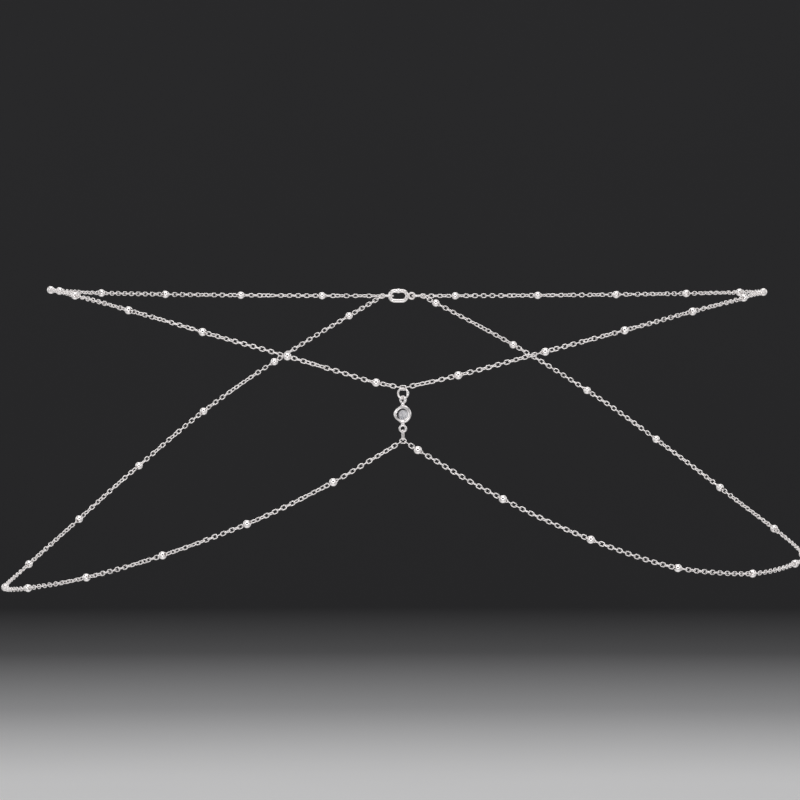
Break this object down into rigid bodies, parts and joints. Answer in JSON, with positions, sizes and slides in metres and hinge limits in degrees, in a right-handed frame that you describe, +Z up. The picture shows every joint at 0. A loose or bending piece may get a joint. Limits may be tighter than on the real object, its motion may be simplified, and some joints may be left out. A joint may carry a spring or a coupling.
{
  "type": "two-strand waist chain with ball beads and a bezel-set crystal",
  "caption": "Silver-tone waist chain: a shallow V upper strand and a draped lower strand of fine cable chain with ball beads, joined in front by a bezel-set clear crystal.",
  "frame": {"origin": "middle of the waist hollow, straight behind the crystal, level with the upper strand at the sides of the waist", "axes": "+X to the right as seen from the front, +Y from the crystal to the clasp, +Z up the body"},
  "size_m": [0.3149, 0.2118, 0.1207],
  "materials": {
    "chain": "polished silver-tone metal",
    "polished_beads": "mirror-polished silver-tone metal",
    "setting": "polished silver-tone metal, softly rounded",
    "findings": "polished silver-tone metal",
    "crystal": "clear cut crystal"
  },
  "bodies": {
    "root": {"upper_chain_left": "chain", "upper_chain_right": "chain", "upper_beads_left": "polished_beads", "upper_beads_right": "polished_beads", "lower_chain_left": "chain", "lower_chain_right": "chain", "lower_beads_left": "polished_beads", "lower_beads_right": "polished_beads", "upper_center_link": "chain", "center_jump_ring": "findings", "crystal_setting": "setting", "crystal_stone": "crystal", "drop_link": "chain", "lower_center_link": "chain", "left_end_ring": "findings", "right_end_ring": "findings", "clasp": "findings"}
  },
  "joints": []
}
